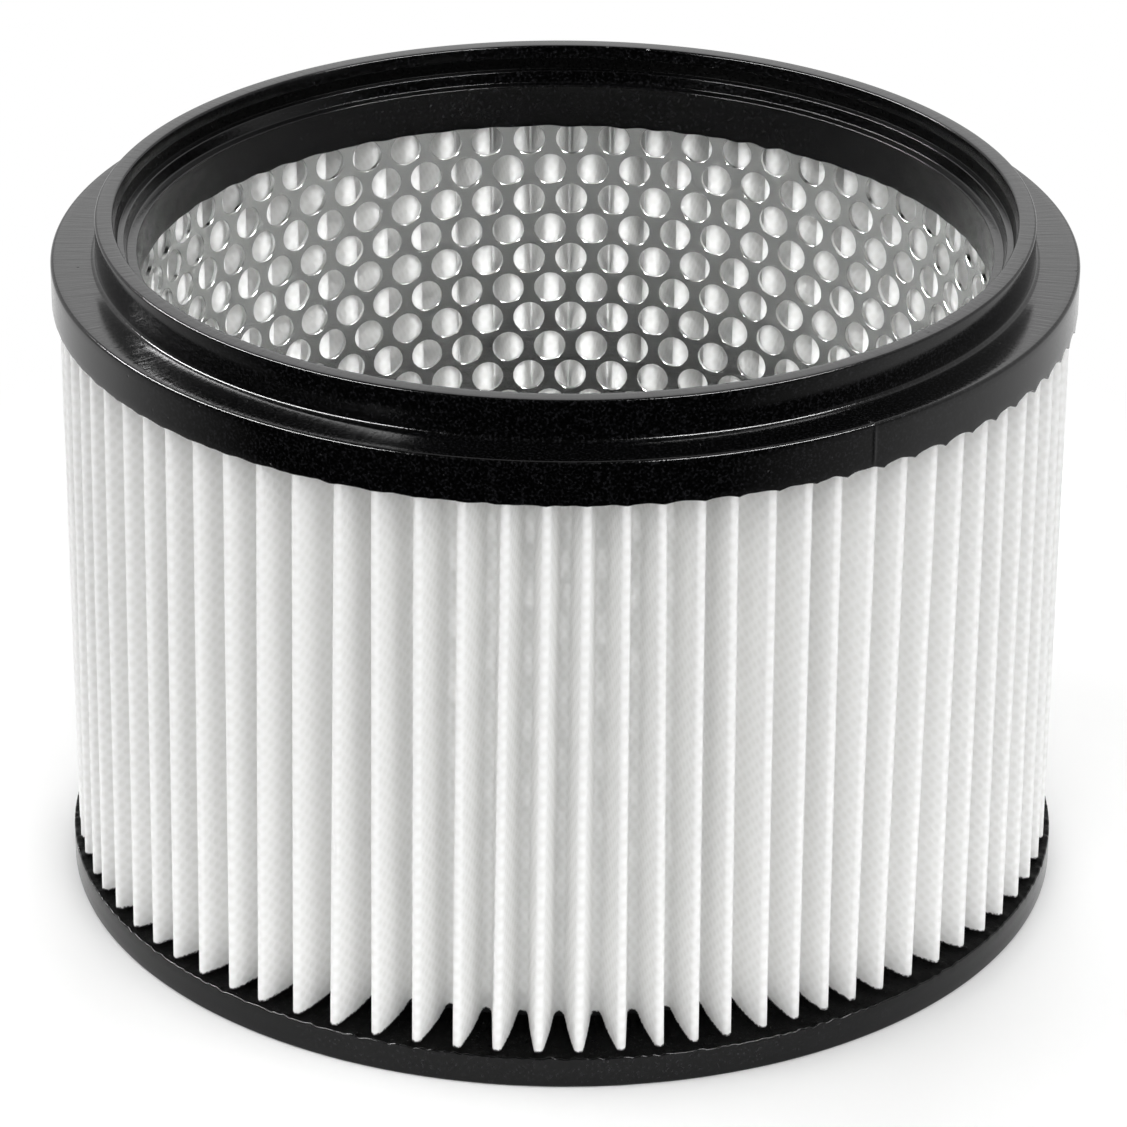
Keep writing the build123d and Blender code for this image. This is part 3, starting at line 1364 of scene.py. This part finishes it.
@dataclass
class Studio:
    """White sweep with a dark room behind the camera, soft lamps, and the camera at the photo's place."""

    camera_place: tuple[float, float, float] = (0.0, -0.89693, 0.50092)
    camera_pitch: float = 0.45858
    camera_roll: float = 0.00603
    focal_pixels: float = 5246.6
    frame_pixels: float = 1127.0
    sensor: float = 36.0
    floor_radius: float = 0.25
    floor_clear: float = 0.11
    floor_sides: int = 128
    floor_colour: str = "#f7f7f7"
    fill: float = 0.53
    white_axis: tuple[float, float, float] = (0.29, 0.96, -0.3)
    dark_side: float = -0.42
    white_side: float = 0.33
    lamps: tuple[Softbox, ...] = (
        Softbox("left_softbox", (-0.75, 0.05, 0.65), 1.2, 0.8, 0.8, 5.0, LampUse.LIGHT),
        Softbox("right_softbox", (0.53, -0.3, 0.8), 1.3, 0.45, 0.45, 2.5, LampUse.LIGHT),
        Softbox("front_right_softbox", (0.45, -0.82, 0.35), 1.5, 0.6, 0.6, 5.5, LampUse.LIGHT),
        Softbox("front_left_softbox", (-0.35, -0.86, 0.4), 1.5, 0.6, 0.6, 3.0, LampUse.LIGHT),
        Softbox("mouth_light", (0.1, -0.5, 0.85), 1.6, 0.7, 0.7, 2.5, LampUse.LIGHT),
        Softbox("back_light", (0.1, 0.8, 0.5), 1.4, 0.8, 0.8, 9.0, LampUse.LIGHT),
        Softbox("left_strip", (-0.72, -0.1, 0.6), 1.2, 1.7, 0.12, 64.0, LampUse.GLINT),
        Softbox("right_strip", (0.62, -0.49, 0.94), 1.3, 0.86, 0.12, 32.0, LampUse.GLINT),
        Softbox("back_glint", (0.0, 0.87, 0.48), 1.5, 0.7, 0.7, 1.2, LampUse.GLINT),
    )
    spots: MouthSpots = MouthSpots()

    def build(self, sizes: CartridgeSizes) -> None:
        """Set up the whole studio.

        Args:
            sizes: sizes of the part that stands in it.
        """
        self.world()
        self.floor()
        for lamp in self.lamps:
            lamp.build(aim=Vector((0, 0, sizes.collar_top / 2)))
        self.spots.build(sizes)
        self.camera()
        bpy.context.scene.view_settings.view_transform = "Standard"

    def world(self) -> None:
        """Surround the part with white.

        The camera sees it plain white. Reflections show it white behind the part and dark on the camera's
        side, and as light it is dimmer.
        """
        world = bpy.data.worlds.new("white_sweep")
        world.use_nodes = True
        bpy.context.scene.world = world
        tree = world.node_tree
        direction = add_node(tree, "ShaderNodeTexCoord").outputs["Generated"]
        towards = add_node(
            tree, "ShaderNodeVectorMath", {0: direction, 1: self.white_axis}, operation="DOT_PRODUCT"
        ).outputs["Value"]
        mirrored = add_node(tree, "ShaderNodeMapRange", {0: towards, 1: self.dark_side, 2: self.white_side})
        path = add_node(tree, "ShaderNodeLightPath").outputs
        lit = add_node(
            tree,
            "ShaderNodeMix",
            {0: path["Is Glossy Ray"], 2: self.fill, 3: mirrored.outputs[0]},
            data_type="FLOAT",
        )
        seen = add_node(
            tree,
            "ShaderNodeMath",
            {0: path["Is Camera Ray"], 1: path["Is Transmission Ray"]},
            operation="MAXIMUM",
        )
        strength = add_node(
            tree, "ShaderNodeMix", {0: seen.outputs[0], 2: lit.outputs[0], 3: 1.0}, data_type="FLOAT"
        )
        background = tree.nodes["Background"]
        background.inputs["Color"].default_value = (1, 1, 1, 1)
        tree.links.new(strength.outputs[0], background.inputs["Strength"])

    def floor(self) -> None:
        """Lay a pale round floor that fades into the white round it and keeps the part's shadow."""
        shell = bmesh.new()
        bmesh.ops.create_circle(shell, cap_ends=True, segments=self.floor_sides, radius=self.floor_radius)
        mesh = bpy.data.meshes.new("studio_floor")
        shell.to_mesh(mesh)
        shell.free()
        floor = bpy.data.objects.new("studio_floor", mesh)
        bpy.context.scene.collection.objects.link(floor)
        material, tree, shader = new_material("matt_white_paper")
        place = add_node(tree, "ShaderNodeNewGeometry").outputs["Position"]
        reach = add_node(tree, "ShaderNodeVectorMath", {0: place}, operation="LENGTH").outputs["Value"]
        shown = add_node(
            tree,
            "ShaderNodeMapRange",
            {0: reach, 1: self.floor_clear, 2: self.floor_radius, 3: 1.0, 4: 0.0},
            interpolation_type="SMOOTHSTEP",
        )
        tree.links.new(shown.outputs[0], shader.inputs["Alpha"])
        shader.inputs["Base Color"].default_value = linear_colour(self.floor_colour)
        shader.inputs["Roughness"].default_value = 1.0
        shader.inputs["Specular IOR Level"].default_value = 0.0
        mesh.materials.append(material)

    def camera(self) -> None:
        """Place the camera where the photograph was taken from."""
        lens = bpy.data.cameras.new("photo_camera")
        lens.sensor_width = self.sensor
        lens.lens = self.sensor * self.focal_pixels / self.frame_pixels
        camera = bpy.data.objects.new("photo_camera", lens)
        tilt = Matrix.Rotation(math.pi / 2 - self.camera_pitch, 4, "X")
        roll = Matrix.Rotation(self.camera_roll, 4, "Z")
        camera.matrix_world = Matrix.Translation(self.camera_place) @ tilt @ roll
        bpy.context.scene.collection.objects.link(camera)
        bpy.context.scene.camera = camera


def fit(piece: bpy.types.Object, node: str, slot: str, *finishes: bpy.types.Material) -> None:
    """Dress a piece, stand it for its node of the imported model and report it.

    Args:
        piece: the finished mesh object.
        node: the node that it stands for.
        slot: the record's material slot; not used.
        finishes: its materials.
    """
    for finish in finishes:
        piece.data.materials.append(finish)
    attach(piece, "root")
    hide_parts(node)
    piece.data.calc_loop_triangles()
    LOG.info("%s: %d triangles", piece.name, len(piece.data.loop_triangles))


def main() -> None:
    """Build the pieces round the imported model, then the studio."""
    logging.basicConfig(level=logging.INFO, format="%(message)s")
    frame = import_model()
    sizes = CartridgeSizes.from_frame(frame["record"])
    root_radius = sizes.core_radius + CORE_CLEARANCE
    layout = PleatLayout.at_base(sizes.media_radius, root_radius)
    top_layout = PleatLayout.at_top(sizes.media_radius, root_radius)
    bed = PottingBed(layout)
    top_bed = PottingBed(top_layout, root_height=0.3 * MM)
    # The second finish is the darker copy with painted shade for the beds and the mouth
    polyurethane = [finish.material() for finish in (CastPolyurethane(), CastPolyurethane.dull_painted_shade())]
    steel = RolledSteel().material()
    fleece = SpunbondFleece().material()
    fit(TopCap(sizes, top_bed).build(), "top_end_cap", "cap_polyurethane", *polyurethane)
    fit(BaseCap(sizes, bed).build(), "bottom_end_cap", "cap_polyurethane", *polyurethane)
    fit(PerforatedCore(sizes).build(), "perforated_core", "core_steel", steel)
    media = PleatedMedia(sizes, layout, top_layout, bed)
    folded = media.build()
    fit(folded, "pleated_media", "media_fleece", fleece)
    LOG.info("sheet cut to %.1f by %.1f mm", media.flat[0] / MM, media.flat[1] / MM)
    Studio().build(sizes)


if __name__ == "__main__":
    main()
